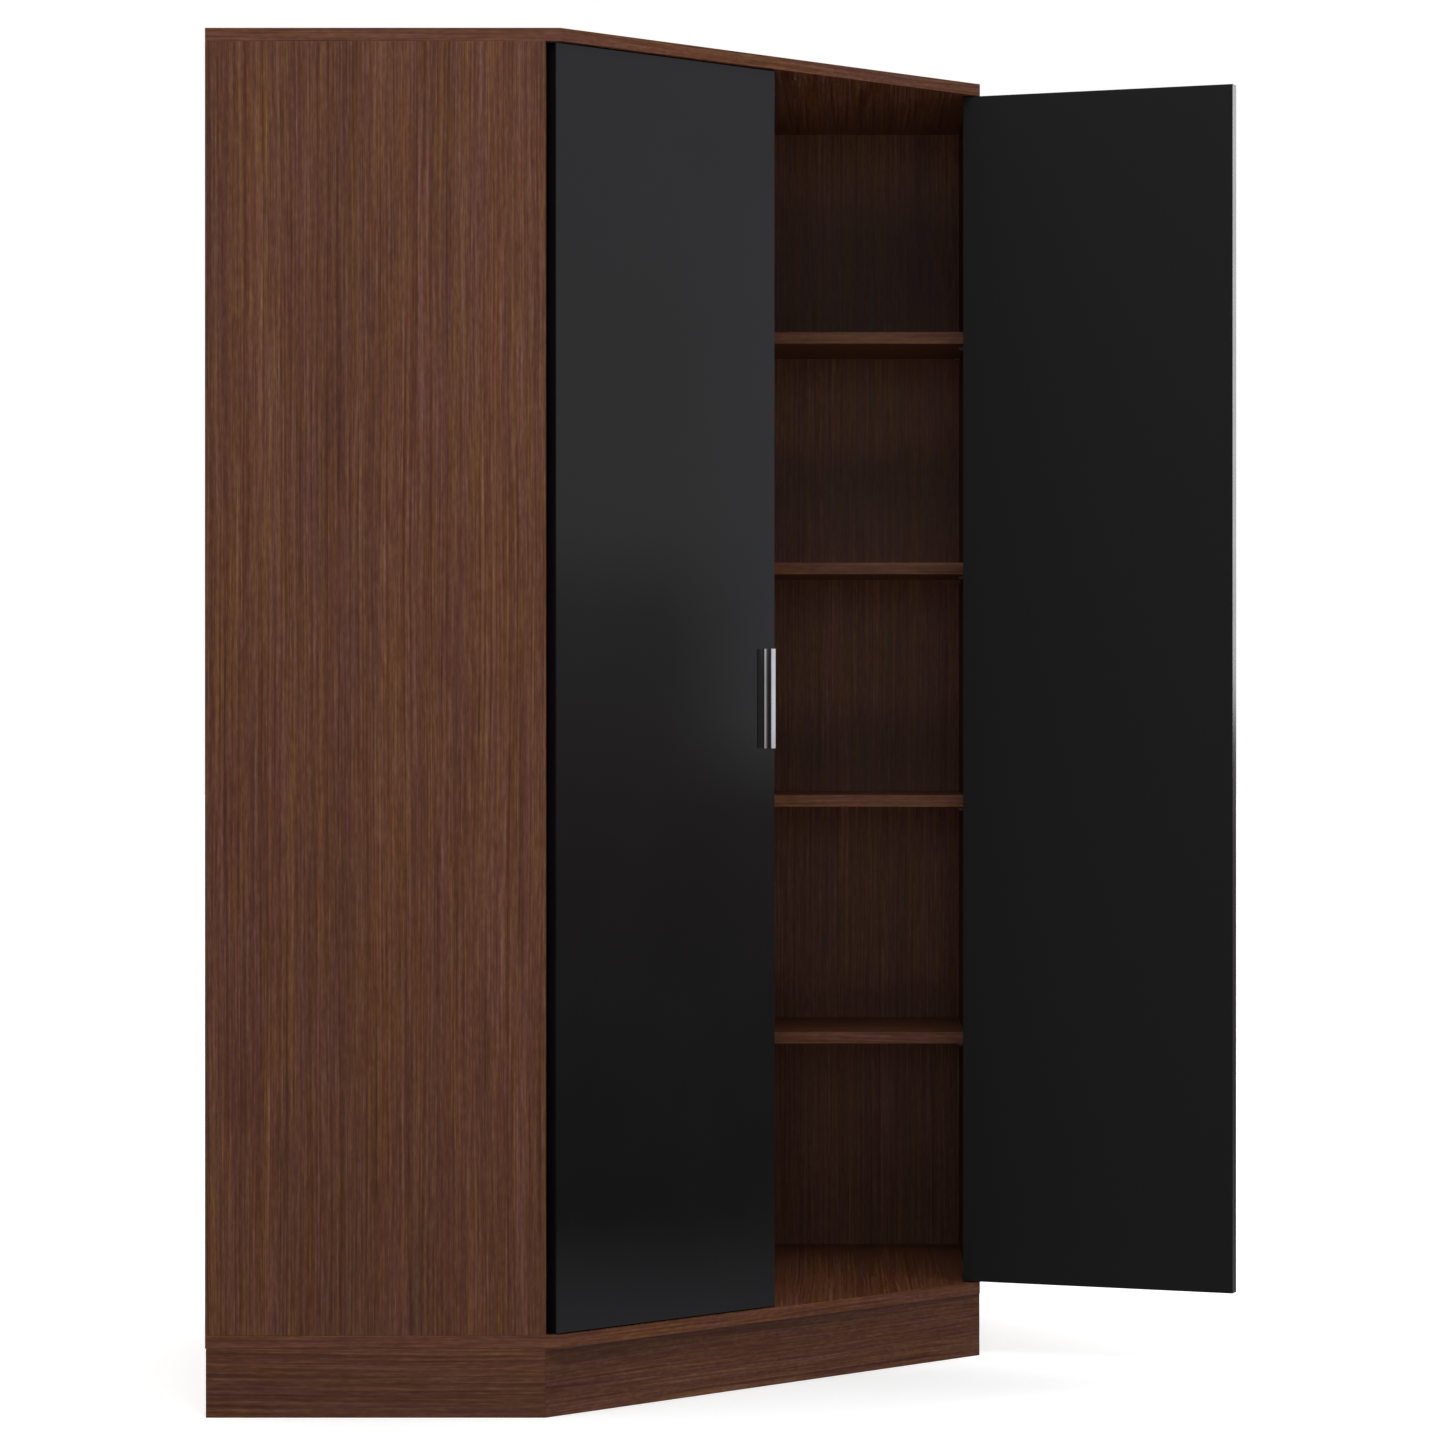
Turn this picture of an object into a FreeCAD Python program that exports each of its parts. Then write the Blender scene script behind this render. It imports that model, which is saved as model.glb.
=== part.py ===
import FreeCAD, Part
import math
import os

# Corner wardrobe with a pentagonal plan. The rear corner stands in the corner of a room, the two backs
# lie against the two walls, and a pair of doors closes the diagonal front.
# Frame, in millimetres: the origin is the rear corner on the floor, +X runs along the right-hand wall,
# -Y along the left-hand wall and +Z is up. The plan is symmetric about the plane x = -y.

V = FreeCAD.Vector
UP = V(0, 0, 1)
ROOT_HALF = math.sqrt(0.5)

# Carcass
HEIGHT = 1900.0
WALL_LENGTH = 1078.0        # outline measured along each wall
SIDE_DEPTH = 486.0          # width of each side panel
BOARD = 18.0
BACK = 3.0
REBATE = 9.0                # how far a back reaches into the panel round it
SIDE_END_GAP = 20.0         # side panel's front end, behind the outline's corner
EDGE_ROUND = 0.7
POST = 36.0
POST_ROUND = 1.5

# Plinth
PLINTH_HEIGHT = 94.5
PLINTH_FRONT_RECESS = 14.2
PLINTH_REAR_GAP = 1.2
PLINTH_REAR_RECESS = 30.0
BLOCK = 36.0
BLOCK_DEPTH = 25.0          # of the blocks behind the front corners
BLOCK_HEIGHT = 60.0
BLOCK_SCREW_RADIUS = 2.2
BLOCK_SCREW_HEAD = 4.4
BLOCK_SCREW_BITE = 13.0     # how far a screw reaches past its block
BLOCK_SCREW_INSET = 15.0

# Shelves and divider
DIVIDER_X = 550.0
SHELF_DEPTH = 327.5
SHELF_UNDERSIDES = (1524.5, 1172.5, 817.5, 456.0)
SHELF_SIDE_GAP = 0.5

# Doors
DOOR_RECESS = 8.3           # gloss face, behind the diagonal edge of the top panel
DOOR_CLEARANCE = 1.5        # above and below each door
DOOR_MIDDLE_GAP = 3.0
DOOR_FACING = 1.3
DOOR_BOARD = 18.0
FACING_ROUND = 0.35
DOOR_ROUND = 0.5
OPEN_ANGLE = 114.0
PIVOT_FROM_EDGE = 6.2
PIVOT_FROM_FACE = 6.7

# Handles
HANDLE_LENGTH = 142.0
HANDLE_WIDTH = 9.0
HANDLE_PROJECTION = 15.0
HANDLE_WAIST = 5.0
HANDLE_CORNER = 0.8
HANDLE_FROM_EDGE = 16.6     # its centre line, from the door's free edge
HANDLE_CENTRE_Z = 983.0
HANDLE_SCREW_SPACING = 128.0

# Hanging rail
RAIL_X = 270.0
RAIL_Z = 1800.0
RAIL_HEIGHT = 30.0
RAIL_WIDTH = 15.0
RAIL_WALL = 1.2
RAIL_BRACKET_Y = -62.0

# Wood screws
SCREW_RADIUS = 1.75
SCREW_HEAD_RADIUS = 3.4
SCREW_POINT = 0.3
SCREW_LENGTH = 15.0

# Derived places
INNER = WALL_LENGTH - BOARD
FLOOR_Z = PLINTH_HEIGHT + BOARD
CEILING_Z = HEIGHT - BOARD
MIDDLE_Z = (FLOOR_Z + CEILING_Z) / 2
FRONT_WIDTH = (WALL_LENGTH - SIDE_DEPTH) / ROOT_HALF
SIDE_END = SIDE_DEPTH - SIDE_END_GAP
SIDE_MIDDLE = WALL_LENGTH - BOARD / 2
DOOR_WIDTH = (FRONT_WIDTH - DOOR_MIDDLE_GAP) / 2
DOOR_BOTTOM = FLOOR_Z + DOOR_CLEARANCE
DOOR_TOP = CEILING_Z - DOOR_CLEARANCE
FACING_BACK = -DOOR_RECESS - DOOR_FACING
DOOR_BACK = FACING_BACK - DOOR_BOARD
PIVOT_N = -DOOR_RECESS - PIVOT_FROM_FACE


# ---- geometry helpers -------------------------------------------------------------------------

def front(u, n, z=0.0):
    """Point on the diagonal front: u from its left end, n out of its plane into the room."""
    x = SIDE_DEPTH + (u + n) * ROOT_HALF
    y = -WALL_LENGTH + (u - n) * ROOT_HALF
    return V(x, y, z)


def mirrored_point(p):
    return V(-p.y, -p.x, p.z)


def right_open(u, n, z=0.0):
    """Point of the right door, swung open, from the same place on the closed left door."""
    pivot = mirrored_point(front(PIVOT_FROM_EDGE, PIVOT_N))
    closed = mirrored_point(front(u, n, z))
    return pivot + FreeCAD.Rotation(UP, OPEN_ANGLE).multVec(closed - pivot)


def outward(at):
    """The way that a door's face looks."""
    return at(0, 1) - at(0, 0)


def box(x0, x1, y0, y1, z0, z1):
    return Part.makeBox(x1 - x0, y1 - y0, z1 - z0, V(x0, y0, z0))


def prism(points, z0, z1):
    """Upright solid on a closed plan outline."""
    corners = [V(p.x, p.y, z0) for p in points]
    outline = Part.makePolygon(corners + corners[:1])
    return Part.Face(outline).extrude(UP * (z1 - z0))


def door_box(at, u0, u1, n0, n1, z0, z1):
    """Box square to a door, where at gives the door's points."""
    return prism([at(u0, n0), at(u1, n0), at(u1, n1), at(u0, n1)], z0, z1)


def rod(radius, start, end):
    along = end - start
    return Part.makeCylinder(radius, along.Length, start, along)


def turned(profile, start, direction):
    """Solid of revolution: profile holds (distance along the axis, radius) from the start."""
    closed = [V(profile[0][0], 0, 0)]
    closed += [V(a, r, 0) for a, r in profile]
    closed += [V(profile[-1][0], 0, 0)]
    face = Part.Face(Part.makePolygon(closed + closed[:1]))
    solid = face.revolve(V(0, 0, 0), V(1, 0, 0), 360)
    solid.Placement = FreeCAD.Placement(start, FreeCAD.Rotation(V(1, 0, 0), direction))
    return solid


def rounded(solid, radius=EDGE_ROUND):
    """The solid with every edge eased."""
    return solid.makeFillet(radius, solid.Edges)


def other_side(shape):
    """Mirror image in the plan's plane of symmetry, x = -y."""
    return shape.mirror(V(0, 0, 0), V(1, 1, 0))


def upside_down(shape):
    """Mirror image in the level plane half way up the inside."""
    return shape.mirror(V(0, 0, MIDDLE_Z), UP)


def both_sides(shapes):
    return shapes + [other_side(s) for s in shapes]


def both_levels(shapes):
    return shapes + [upside_down(s) for s in shapes]


def drilled(solid, tools):
    """The solid less the tools that reach it."""
    near = [t for t in tools if t.BoundBox.intersect(solid.BoundBox)]
    return solid.cut(near) if near else solid


def spaced(start, end, pitch):
    """Evenly spaced values from start to end, no further apart than pitch."""
    count = math.ceil(abs(end - start) / pitch)
    return [start + (end - start) * i / count for i in range(count + 1)]


def countersunk_screw(start, direction, length, radius=SCREW_RADIUS, head=SCREW_HEAD_RADIUS):
    """Wood screw, its head flush at the start."""
    cone = head - radius
    tip = length - radius * 2
    return turned([(0, head), (cone, radius), (tip, radius), (length, SCREW_POINT)], start, direction)


# ---- fasteners --------------------------------------------------------------------------------

CAM_FROM_EDGE = 34.0
CAM_RADIUS = 7.5
CAM_DEPTH = 12.5
CAM_SLOT = 0.9              # half width of the slots in a cam
CAM_SLOT_REACH = 5.0
CAP_RADIUS = 8.5
CAP_THICKNESS = 1.0
CAP_BEVEL = 0.8
BOLT_NECK = 2.5
BOLT_HEAD = 3.5
BOLT_HEAD_LENGTH = 4.0
BOLT_THREAD = 3.0
BOLT_PLAY = 0.1
DOWEL_RADIUS = 4.0
DOWEL_HALF = 11.0
DOWEL_EASE = 1.0
SIDE_CAM_X = (62.0, 236.0, 410.0)
SIDE_DOWEL_X = (120.0, 352.0)
DIVIDER_CAM_Y = (-70.0, -262.0)
DIVIDER_DOWEL_Y = -166.0


def cam_places():
    """Each lower cam: a point on the panel's inner face, and the way that the face looks."""
    left = [(V(x, -INNER, FLOOR_Z + CAM_FROM_EDGE), V(0, 1, 0)) for x in SIDE_CAM_X]
    middle = [(V(DIVIDER_X, y, FLOOR_Z + CAM_FROM_EDGE), V(-1, 0, 0)) for y in DIVIDER_CAM_Y]
    return left, middle


def cam_bolt(face, out):
    """Bolt from the bottom panel up into a cam, on the panel's middle plane."""
    foot = face - out * (BOARD / 2) - UP * (CAM_FROM_EDGE + DOWEL_HALF)
    thread_end = DOWEL_HALF
    head_end = thread_end + CAM_FROM_EDGE + BOLT_HEAD_LENGTH / 4
    neck_end = head_end - BOLT_HEAD_LENGTH
    return turned([(0, BOLT_THREAD), (thread_end, BOLT_THREAD), (thread_end, BOLT_NECK),
                   (neck_end, BOLT_NECK), (neck_end, BOLT_HEAD), (head_end, BOLT_HEAD)], foot, UP)


def cam_lock(face, out):
    """Round cam in its pocket, open where the bolt's head enters, with a cross slot to turn it."""
    body = rod(CAM_RADIUS, face - out * CAM_DEPTH, face)
    axis = face - out * (BOARD / 2)
    mouth = rod(BOLT_HEAD + BOLT_PLAY, axis - UP * (CAM_RADIUS + 1), axis + UP * BOLT_HEAD_LENGTH / 3)
    level = out.cross(UP) * CAM_SLOT_REACH
    upright = UP * CAM_SLOT_REACH
    slots = [rod(CAM_SLOT, face - half, face + half) for half in (level, upright)]
    return body.cut([mouth] + slots)


def cam_pocket(face, out):
    return rod(CAM_RADIUS, face - out * CAM_DEPTH, face)


def cam_cap(face, out):
    """Thin cover over a cam."""
    rim = CAP_THICKNESS / 2
    profile = [(0, CAP_RADIUS), (rim, CAP_RADIUS), (CAP_THICKNESS, CAP_RADIUS - CAP_BEVEL)]
    return turned(profile, face, out)


def per_cam(make):
    """A piece for every cam: both side panels, the divider, and both levels."""
    left, middle = cam_places()
    pieces = both_sides([make(*place) for place in left]) + [make(*place) for place in middle]
    return both_levels(pieces)


def dowel(place):
    """Plain dowel across a joint, with eased ends."""
    start = place - UP * DOWEL_HALF
    length = DOWEL_HALF * 2
    profile = [(0, DOWEL_RADIUS - DOWEL_EASE), (DOWEL_EASE, DOWEL_RADIUS),
               (length - DOWEL_EASE, DOWEL_RADIUS), (length, DOWEL_RADIUS - DOWEL_EASE)]
    return turned(profile, start, UP)


def dowels():
    sides = both_sides([dowel(V(x, -SIDE_MIDDLE, FLOOR_Z)) for x in SIDE_DOWEL_X])
    divider = dowel(V(DIVIDER_X + BOARD / 2, DIVIDER_DOWEL_Y, FLOOR_Z))
    post = dowel(V(BACK + POST / 2, -BACK - POST / 2, FLOOR_Z))
    return both_levels(sides + [divider, post])


NAIL_PITCH = 225.0
NAIL_INSET = 45.0
NAIL_LENGTH = 18.0
NAIL_POINT = 0.2
NAIL_RADIUS = 0.8
NAIL_HEAD = 2.0
NAIL_HEAD_THICK = 0.8
LEFT_NAIL_LIFT = 12.0       # keeps the two backs' nails apart where they share the corner post


def nail(x, z):
    """Nail into the right back, its flat head flush with the back's outer face."""
    profile = [(0, NAIL_HEAD), (NAIL_HEAD_THICK, NAIL_HEAD), (NAIL_HEAD_THICK, NAIL_RADIUS),
               (NAIL_LENGTH - 1, NAIL_RADIUS), (NAIL_LENGTH, NAIL_POINT)]
    return turned(profile, V(x, 0, z), V(0, -1, 0))


def level_nails():
    """Nails along the top and bottom of the right back."""
    across = spaced(POST + NAIL_INSET, INNER - NAIL_INSET, NAIL_PITCH)
    return [nail(x, z) for x in across for z in (FLOOR_Z - REBATE / 2, CEILING_Z + REBATE / 2)]


def upright_nails(x, lift=0.0):
    """Nails up the line at x of the right back."""
    ends = NAIL_INSET * 2
    return [nail(x, z + lift) for z in spaced(FLOOR_Z + ends, CEILING_Z - ends, NAIL_PITCH)]


def back_nails():
    """Nails of both backs. Only the right one is nailed to the divider."""
    post_line = BACK + POST / 2
    divider_line = DIVIDER_X + BOARD / 2
    side_line = INNER + REBATE / 2
    right = level_nails() + [n for x in (post_line, divider_line, side_line) for n in upright_nails(x)]
    left = level_nails() + [n for x in (post_line, side_line) for n in upright_nails(x, LEFT_NAIL_LIFT)]
    return right + [other_side(n) for n in left]


# ---- carcass ----------------------------------------------------------------------------------

def outline():
    return [V(0, 0), V(0, -WALL_LENGTH), V(SIDE_DEPTH, -WALL_LENGTH),
            V(WALL_LENGTH, -SIDE_DEPTH), V(WALL_LENGTH, 0)]


def left_back_panel():
    return box(0, BACK, -INNER - REBATE, -BACK, FLOOR_Z - REBATE, CEILING_Z + REBATE)


def right_back_panel():
    return box(0, INNER + REBATE, -BACK, 0, FLOOR_Z - REBATE, CEILING_Z + REBATE)


def pentagon_panel(z0):
    """Top or bottom panel, rebated for both backs."""
    panel = rounded(prism(outline(), z0, z0 + BOARD))
    return panel.cut([left_back_panel(), right_back_panel()])


def left_side_panel():
    panel = rounded(box(0, SIDE_END, -WALL_LENGTH, -INNER, FLOOR_Z, CEILING_Z))
    return panel.cut(left_back_panel())


def corner_post():
    return rounded(box(BACK, BACK + POST, -BACK - POST, -BACK, FLOOR_Z, CEILING_Z), POST_ROUND)


def divider_panel():
    return rounded(box(DIVIDER_X, DIVIDER_X + BOARD, -SHELF_DEPTH, -BACK, FLOOR_Z, CEILING_Z))


def shelf(underside):
    return rounded(box(DIVIDER_X + BOARD + SHELF_SIDE_GAP, INNER - SHELF_SIDE_GAP, -SHELF_DEPTH,
                       -BACK - SHELF_SIDE_GAP, underside, underside + BOARD))


PIN_RADIUS = 2.5
PIN_DEPTH = 9.0
PIN_REST = 4.0
PIN_REST_LENGTH = 8.0
PIN_FLAT = 3.2              # height of the flat top over the pin's axis
PIN_INSET = 45.0


def shelf_pin(face, into):
    """Shelf support: a peg in the panel and a flat-topped rest under the shelf."""
    axis = face - UP * PIN_FLAT
    peg = rod(PIN_RADIUS, axis + into * PIN_DEPTH, axis)
    rest = rod(PIN_REST, axis, axis - into * PIN_REST_LENGTH)
    reach = PIN_DEPTH + PIN_REST
    above = box(face.x - reach, face.x + reach, face.y - reach, face.y + reach, face.z, face.z + reach)
    return peg.fuse(rest).cut(above).removeSplitter()


def shelf_pins():
    pins = []
    for z in SHELF_UNDERSIDES:
        for y in (-PIN_INSET, -SHELF_DEPTH + PIN_INSET):
            pins.append(shelf_pin(V(DIVIDER_X + BOARD, y, z), V(-1, 0, 0)))
            pins.append(shelf_pin(V(INNER, y, z), V(1, 0, 0)))
    return pins


# ---- plinth -----------------------------------------------------------------------------------

def plinth_corner(depth):
    """Plan point, this far inside the plinth's outer faces, where its left and front boards meet."""
    y = -WALL_LENGTH + depth
    n = -PLINTH_FRONT_RECESS - depth
    return V(SIDE_DEPTH + WALL_LENGTH + y + n / ROOT_HALF, y)


def plinth_front():
    outer = plinth_corner(0)
    inner = plinth_corner(BOARD)
    points = [outer, mirrored_point(outer), mirrored_point(inner), inner]
    return rounded(prism(points, 0, PLINTH_HEIGHT))


def plinth_left():
    outer = plinth_corner(0)
    inner = plinth_corner(BOARD)
    points = [V(PLINTH_REAR_GAP, outer.y), outer, inner, V(PLINTH_REAR_GAP, inner.y)]
    return rounded(prism(points, 0, PLINTH_HEIGHT))


def plinth_rear_left():
    inner = plinth_corner(BOARD).y
    x0 = PLINTH_REAR_RECESS
    return rounded(box(x0, x0 + BOARD, inner, -x0 - BOARD, 0, PLINTH_HEIGHT))


def plinth_rear_right():
    inner = -plinth_corner(BOARD).y
    x0 = PLINTH_REAR_RECESS
    return rounded(box(x0, inner, -x0 - BOARD, -x0, 0, PLINTH_HEIGHT))


def block_corners():
    """Plan outlines of the rear, left and front-left blocks inside the plinth."""
    inside = PLINTH_REAR_RECESS + BOARD
    left_y = plinth_corner(BOARD).y
    bend = plinth_corner(BOARD)
    along_front = V(ROOT_HALF, ROOT_HALF) * BLOCK
    rear = [V(inside, -inside), V(inside, -inside - BLOCK),
            V(inside + BLOCK, -inside - BLOCK), V(inside + BLOCK, -inside)]
    left = [V(inside, left_y), V(inside + BLOCK, left_y),
            V(inside + BLOCK, left_y + BLOCK), V(inside, left_y + BLOCK)]
    square_in = V(-ROOT_HALF, ROOT_HALF) * BLOCK_DEPTH
    bent = [bend, bend + along_front, bend + along_front + square_in, bend + V(-BLOCK, BLOCK_DEPTH),
            bend + V(-BLOCK, 0)]
    return rear, left, bent


def plinth_blocks():
    rear, left, bent = block_corners()
    low = PLINTH_HEIGHT - BLOCK_HEIGHT
    pieces = [rounded(prism(points, low, PLINTH_HEIGHT)) for points in (left, bent)]
    return [rounded(prism(rear, low, PLINTH_HEIGHT))] + both_sides(pieces)


def block_screw(x, y, z, direction, block):
    """Screw through a block this thick and on into the board beyond it."""
    return countersunk_screw(V(x, y, z), direction, block + BLOCK_SCREW_BITE,
                             BLOCK_SCREW_RADIUS, BLOCK_SCREW_HEAD)


def block_screw_up(points):
    centre = (points[0] + points[2]) * 0.5
    return block_screw(centre.x, centre.y, PLINTH_HEIGHT - BLOCK_HEIGHT, UP, BLOCK_HEIGHT)


def plinth_screws():
    """Screws up through each block into the bottom panel, and out into the side boards."""
    rear, left, bent = block_corners()
    sideways = []
    for z in (PLINTH_HEIGHT - BLOCK_HEIGHT + BLOCK_SCREW_INSET, PLINTH_HEIGHT - BLOCK_SCREW_INSET):
        sideways.append(block_screw(left[0].x + BLOCK / 4, left[2].y, z, V(0, -1, 0), BLOCK))
        sideways.append(block_screw(bent[4].x + BLOCK / 4, bent[3].y, z, V(0, -1, 0), BLOCK_DEPTH))
    return [block_screw_up(rear)] + both_sides([block_screw_up(left), block_screw_up(bent)] + sideways)


# ---- doors: at is front for the closed left one and right_open for the open right one ---------

PLATE_LENGTH = 58.0
PLATE_HALF = 4.6
PLATE_THICK = 2.0
PIVOT_PIN = 3.0
PIVOT_PLAY = 0.05
PIVOT_PIN_REACH = 9.0       # below the bottom panel's face
PIVOT_PIN_EASE = 1.0
BUSH_RADIUS = 5.0
BUSH_FLANGE = 6.5
BUSH_FLANGE_THICK = 1.1
BUSH_FLANGE_EASE = 0.3
BUSH_DEPTH = 11.0
BUSH_BORE_DEPTH = 9.6
PLATE_SCREWS_U = (24.0, 48.0)
PLATE_SCREW_LENGTH = 20.0
MAGNET_RADIUS = 4.0
MAGNET_LENGTH = 10.0
MAGNET_FROM_EDGE = 34.0
STRIKE_RADIUS = 5.0
STRIKE_THICK = 1.5
STOP_RADIUS = 3.0
STOP_EASE = 0.8
STOP_DROP = 7.0
STOP_BED = 8.0
STOP_GAP = 0.5
STOP_FROM_EDGE = 60.0
CAP_THICK = 1.1
SCREW_HEAD_DEPTH = 2.4
SCREW_HEAD = 4.0
SCREW_POCKET = 5.0
SCREW_SHANK = 2.0
SCREW_END = 1.2
SCREW_BITE = 7.0


def door_facing(at):
    """High-gloss sheet on the door's front, its front edges eased."""
    sheet = door_box(at, 0, DOOR_WIDTH, FACING_BACK, -DOOR_RECESS, DOOR_BOTTOM, DOOR_TOP)
    return rounded(sheet, FACING_ROUND)


def door_board(at):
    board = door_box(at, 0, DOOR_WIDTH, DOOR_BACK, FACING_BACK, DOOR_BOTTOM, DOOR_TOP)
    return rounded(board, DOOR_ROUND)


def pivot_plate(at):
    """Lower plate, let into the door's edge, with a round end about the pivot."""
    end = PIVOT_FROM_EDGE - PLATE_HALF + PLATE_LENGTH
    bar = door_box(at, PIVOT_FROM_EDGE, end, PIVOT_N - PLATE_HALF, PIVOT_N + PLATE_HALF,
                   DOOR_BOTTOM, DOOR_BOTTOM + PLATE_THICK)
    nose_low = at(PIVOT_FROM_EDGE, PIVOT_N, DOOR_BOTTOM)
    nose = rod(PLATE_HALF, nose_low, nose_low + UP * PLATE_THICK)
    return bar.fuse(nose).removeSplitter()


def pivot_pin(at):
    """The pin alone, below the door, with an eased end."""
    top = at(PIVOT_FROM_EDGE, PIVOT_N, DOOR_BOTTOM)
    reach = DOOR_CLEARANCE + PIVOT_PIN_REACH
    profile = [(0, PIVOT_PIN), (reach - PIVOT_PIN_EASE, PIVOT_PIN), (reach, PIVOT_PIN - PIVOT_PIN_EASE)]
    return turned(profile, top, -UP)


def pivot_screws(at):
    return [countersunk_screw(at(u, PIVOT_N, DOOR_BOTTOM), UP, PLATE_SCREW_LENGTH)
            for u in PLATE_SCREWS_U]


def pivot_plate_with_pin(at):
    whole = pivot_plate(at).fuse(pivot_pin(at)).removeSplitter()
    return whole.cut(pivot_screws(at))


def bush_envelope():
    """Outside of a pivot bush: its flange on the bottom panel and its body in it."""
    head = front(PIVOT_FROM_EDGE, PIVOT_N, FLOOR_Z + BUSH_FLANGE_THICK)
    profile = [(0, BUSH_FLANGE - BUSH_FLANGE_EASE), (BUSH_FLANGE_EASE, BUSH_FLANGE),
               (BUSH_FLANGE_THICK, BUSH_FLANGE), (BUSH_FLANGE_THICK, BUSH_RADIUS),
               (BUSH_FLANGE_THICK + BUSH_DEPTH, BUSH_RADIUS)]
    return turned(profile, head, -UP)


def pivot_bush():
    head = front(PIVOT_FROM_EDGE, PIVOT_N, FLOOR_Z + BUSH_FLANGE_THICK)
    bore_end = front(PIVOT_FROM_EDGE, PIVOT_N, FLOOR_Z - BUSH_BORE_DEPTH)
    return bush_envelope().cut(rod(PIVOT_PIN + PIVOT_PLAY, bore_end, head))


def handle_section(at):
    """Plan of the bar handle: square front and foot, with sides that draw in to a waist."""
    centre = DOOR_WIDTH - HANDLE_FROM_EDGE
    half = HANDLE_WIDTH / 2
    waist = HANDLE_WAIST / 2
    foot = -DOOR_RECESS
    nose = foot + HANDLE_PROJECTION
    middle = (foot + nose) / 2
    ease = HANDLE_CORNER

    def arc(a, b, c):
        return Part.Arc(at(*a), at(*b), at(*c)).toShape()

    def line(a, b):
        return Part.LineSegment(at(*a), at(*b)).toShape()

    def corner(side, n, toward):
        """Rounded corner between a side and the front or foot face."""
        edge = centre + side * half
        bulge = ease * (1 - ROOT_HALF)
        return ((edge, n + toward * ease), (edge - side * bulge, n + toward * bulge),
                (edge - side * ease, n))

    front_left = corner(-1, nose, -1)
    front_right = corner(1, nose, -1)
    foot_left = corner(-1, foot, 1)
    foot_right = corner(1, foot, 1)
    edges = [arc(*front_left),
             line(front_left[2], front_right[2]),
             arc(*reversed(front_right)),
             arc(front_right[0], (centre + waist, middle), foot_right[0]),
             arc(*foot_right),
             line(foot_right[2], foot_left[2]),
             arc(*reversed(foot_left)),
             arc(foot_left[0], (centre - waist, middle), front_left[0])]
    return Part.Wire(Part.__sortEdges__(edges))


def handle(at):
    low = HANDLE_CENTRE_Z - HANDLE_LENGTH / 2
    bar = Part.Face(handle_section(at)).extrude(UP * HANDLE_LENGTH)
    return bar.translated(UP * low).cut(handle_screws(at))


def handle_axis_places(at):
    u = DOOR_WIDTH - HANDLE_FROM_EDGE
    half = HANDLE_SCREW_SPACING / 2
    return [at(u, DOOR_BACK, HANDLE_CENTRE_Z + side * half) for side in (-1, 1)]


def handle_screws(at):
    """Screws from the door's inner face into the handle."""
    head_end = CAP_THICK + SCREW_HEAD_DEPTH
    shank_end = DOOR_BOARD + DOOR_FACING + SCREW_BITE
    profile = [(CAP_THICK, SCREW_HEAD), (head_end, SCREW_HEAD), (head_end, SCREW_SHANK),
               (shank_end - 1, SCREW_SHANK), (shank_end, SCREW_END)]
    return [turned(profile, place, outward(at)) for place in handle_axis_places(at)]


def handle_screw_discs(at, depth):
    """Discs this deep round each handle screw, from the door's inner face."""
    return [rod(SCREW_POCKET, place, place + outward(at) * depth) for place in handle_axis_places(at)]


def door_magnet(at):
    """Magnet pressed into the door's top edge, near its free edge."""
    top = at(DOOR_WIDTH - MAGNET_FROM_EDGE, PIVOT_N, DOOR_TOP)
    return rod(MAGNET_RADIUS, top - UP * MAGNET_LENGTH, top)


def catch_strike():
    """Steel disc let into the top panel above the closed door's magnet."""
    low = front(DOOR_WIDTH - MAGNET_FROM_EDGE, PIVOT_N, CEILING_Z)
    return rod(STRIKE_RADIUS, low, low + UP * STRIKE_THICK)


def door_stop():
    """Soft peg under the top panel that the closed door rests against."""
    n = DOOR_BACK - STOP_GAP - STOP_RADIUS
    low = front(DOOR_WIDTH - STOP_FROM_EDGE, n, CEILING_Z - STOP_DROP)
    length = STOP_DROP + STOP_BED
    profile = [(0, STOP_RADIUS - STOP_EASE), (STOP_EASE, STOP_RADIUS), (length, STOP_RADIUS)]
    return turned(profile, low, UP)


def door(at):
    """Every piece that swings with a door, in lists of solids by name."""
    plate_beds = both_levels([pivot_plate(at)])
    plate_screws = both_levels(pivot_screws(at))
    screws = handle_screws(at)
    pockets = handle_screw_discs(at, CAP_THICK + SCREW_HEAD_DEPTH)
    magnet = door_magnet(at)
    return {
        "door_board": [drilled(door_board(at), plate_beds + plate_screws + screws + pockets + [magnet])],
        "door_facing": [drilled(door_facing(at), screws)],
        "handle": [handle(at)],
        "handle_screws": screws,
        "handle_screw_caps": handle_screw_discs(at, CAP_THICK),
        "pivot_plates": both_levels([pivot_plate_with_pin(at)]),
        "pivot_screws": plate_screws,
        "door_magnet": [magnet],
    }


# ---- hanging rail -----------------------------------------------------------------------------

SOCKET_WALL = 3.0
SOCKET_DEPTH = 12.0
SOCKET_BASE = 2.5
EAR_LENGTH = 48.0
EAR_HEIGHT = 16.0
EAR_ROUND = 6.0
EAR_SCREW = 18.0            # from the rail's axis
STRAP_WIDTH = 24.0
STRAP_THICK = 2.0
FOOT_LENGTH = 56.0
FOOT_SCREWS = (-30.0, -8.0)


def oval(width, height, y0, y1):
    """Solid with an upright flat-oval section, along Y at the rail's place."""
    r = width / 2
    straight = (height - width) / 2
    core = box(RAIL_X - r, RAIL_X + r, y0, y1, RAIL_Z - straight, RAIL_Z + straight)
    caps = [rod(r, V(RAIL_X, y0, RAIL_Z + s * straight), V(RAIL_X, y1, RAIL_Z + s * straight))
            for s in (-1, 1)]
    return core.fuse(caps).removeSplitter()


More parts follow.
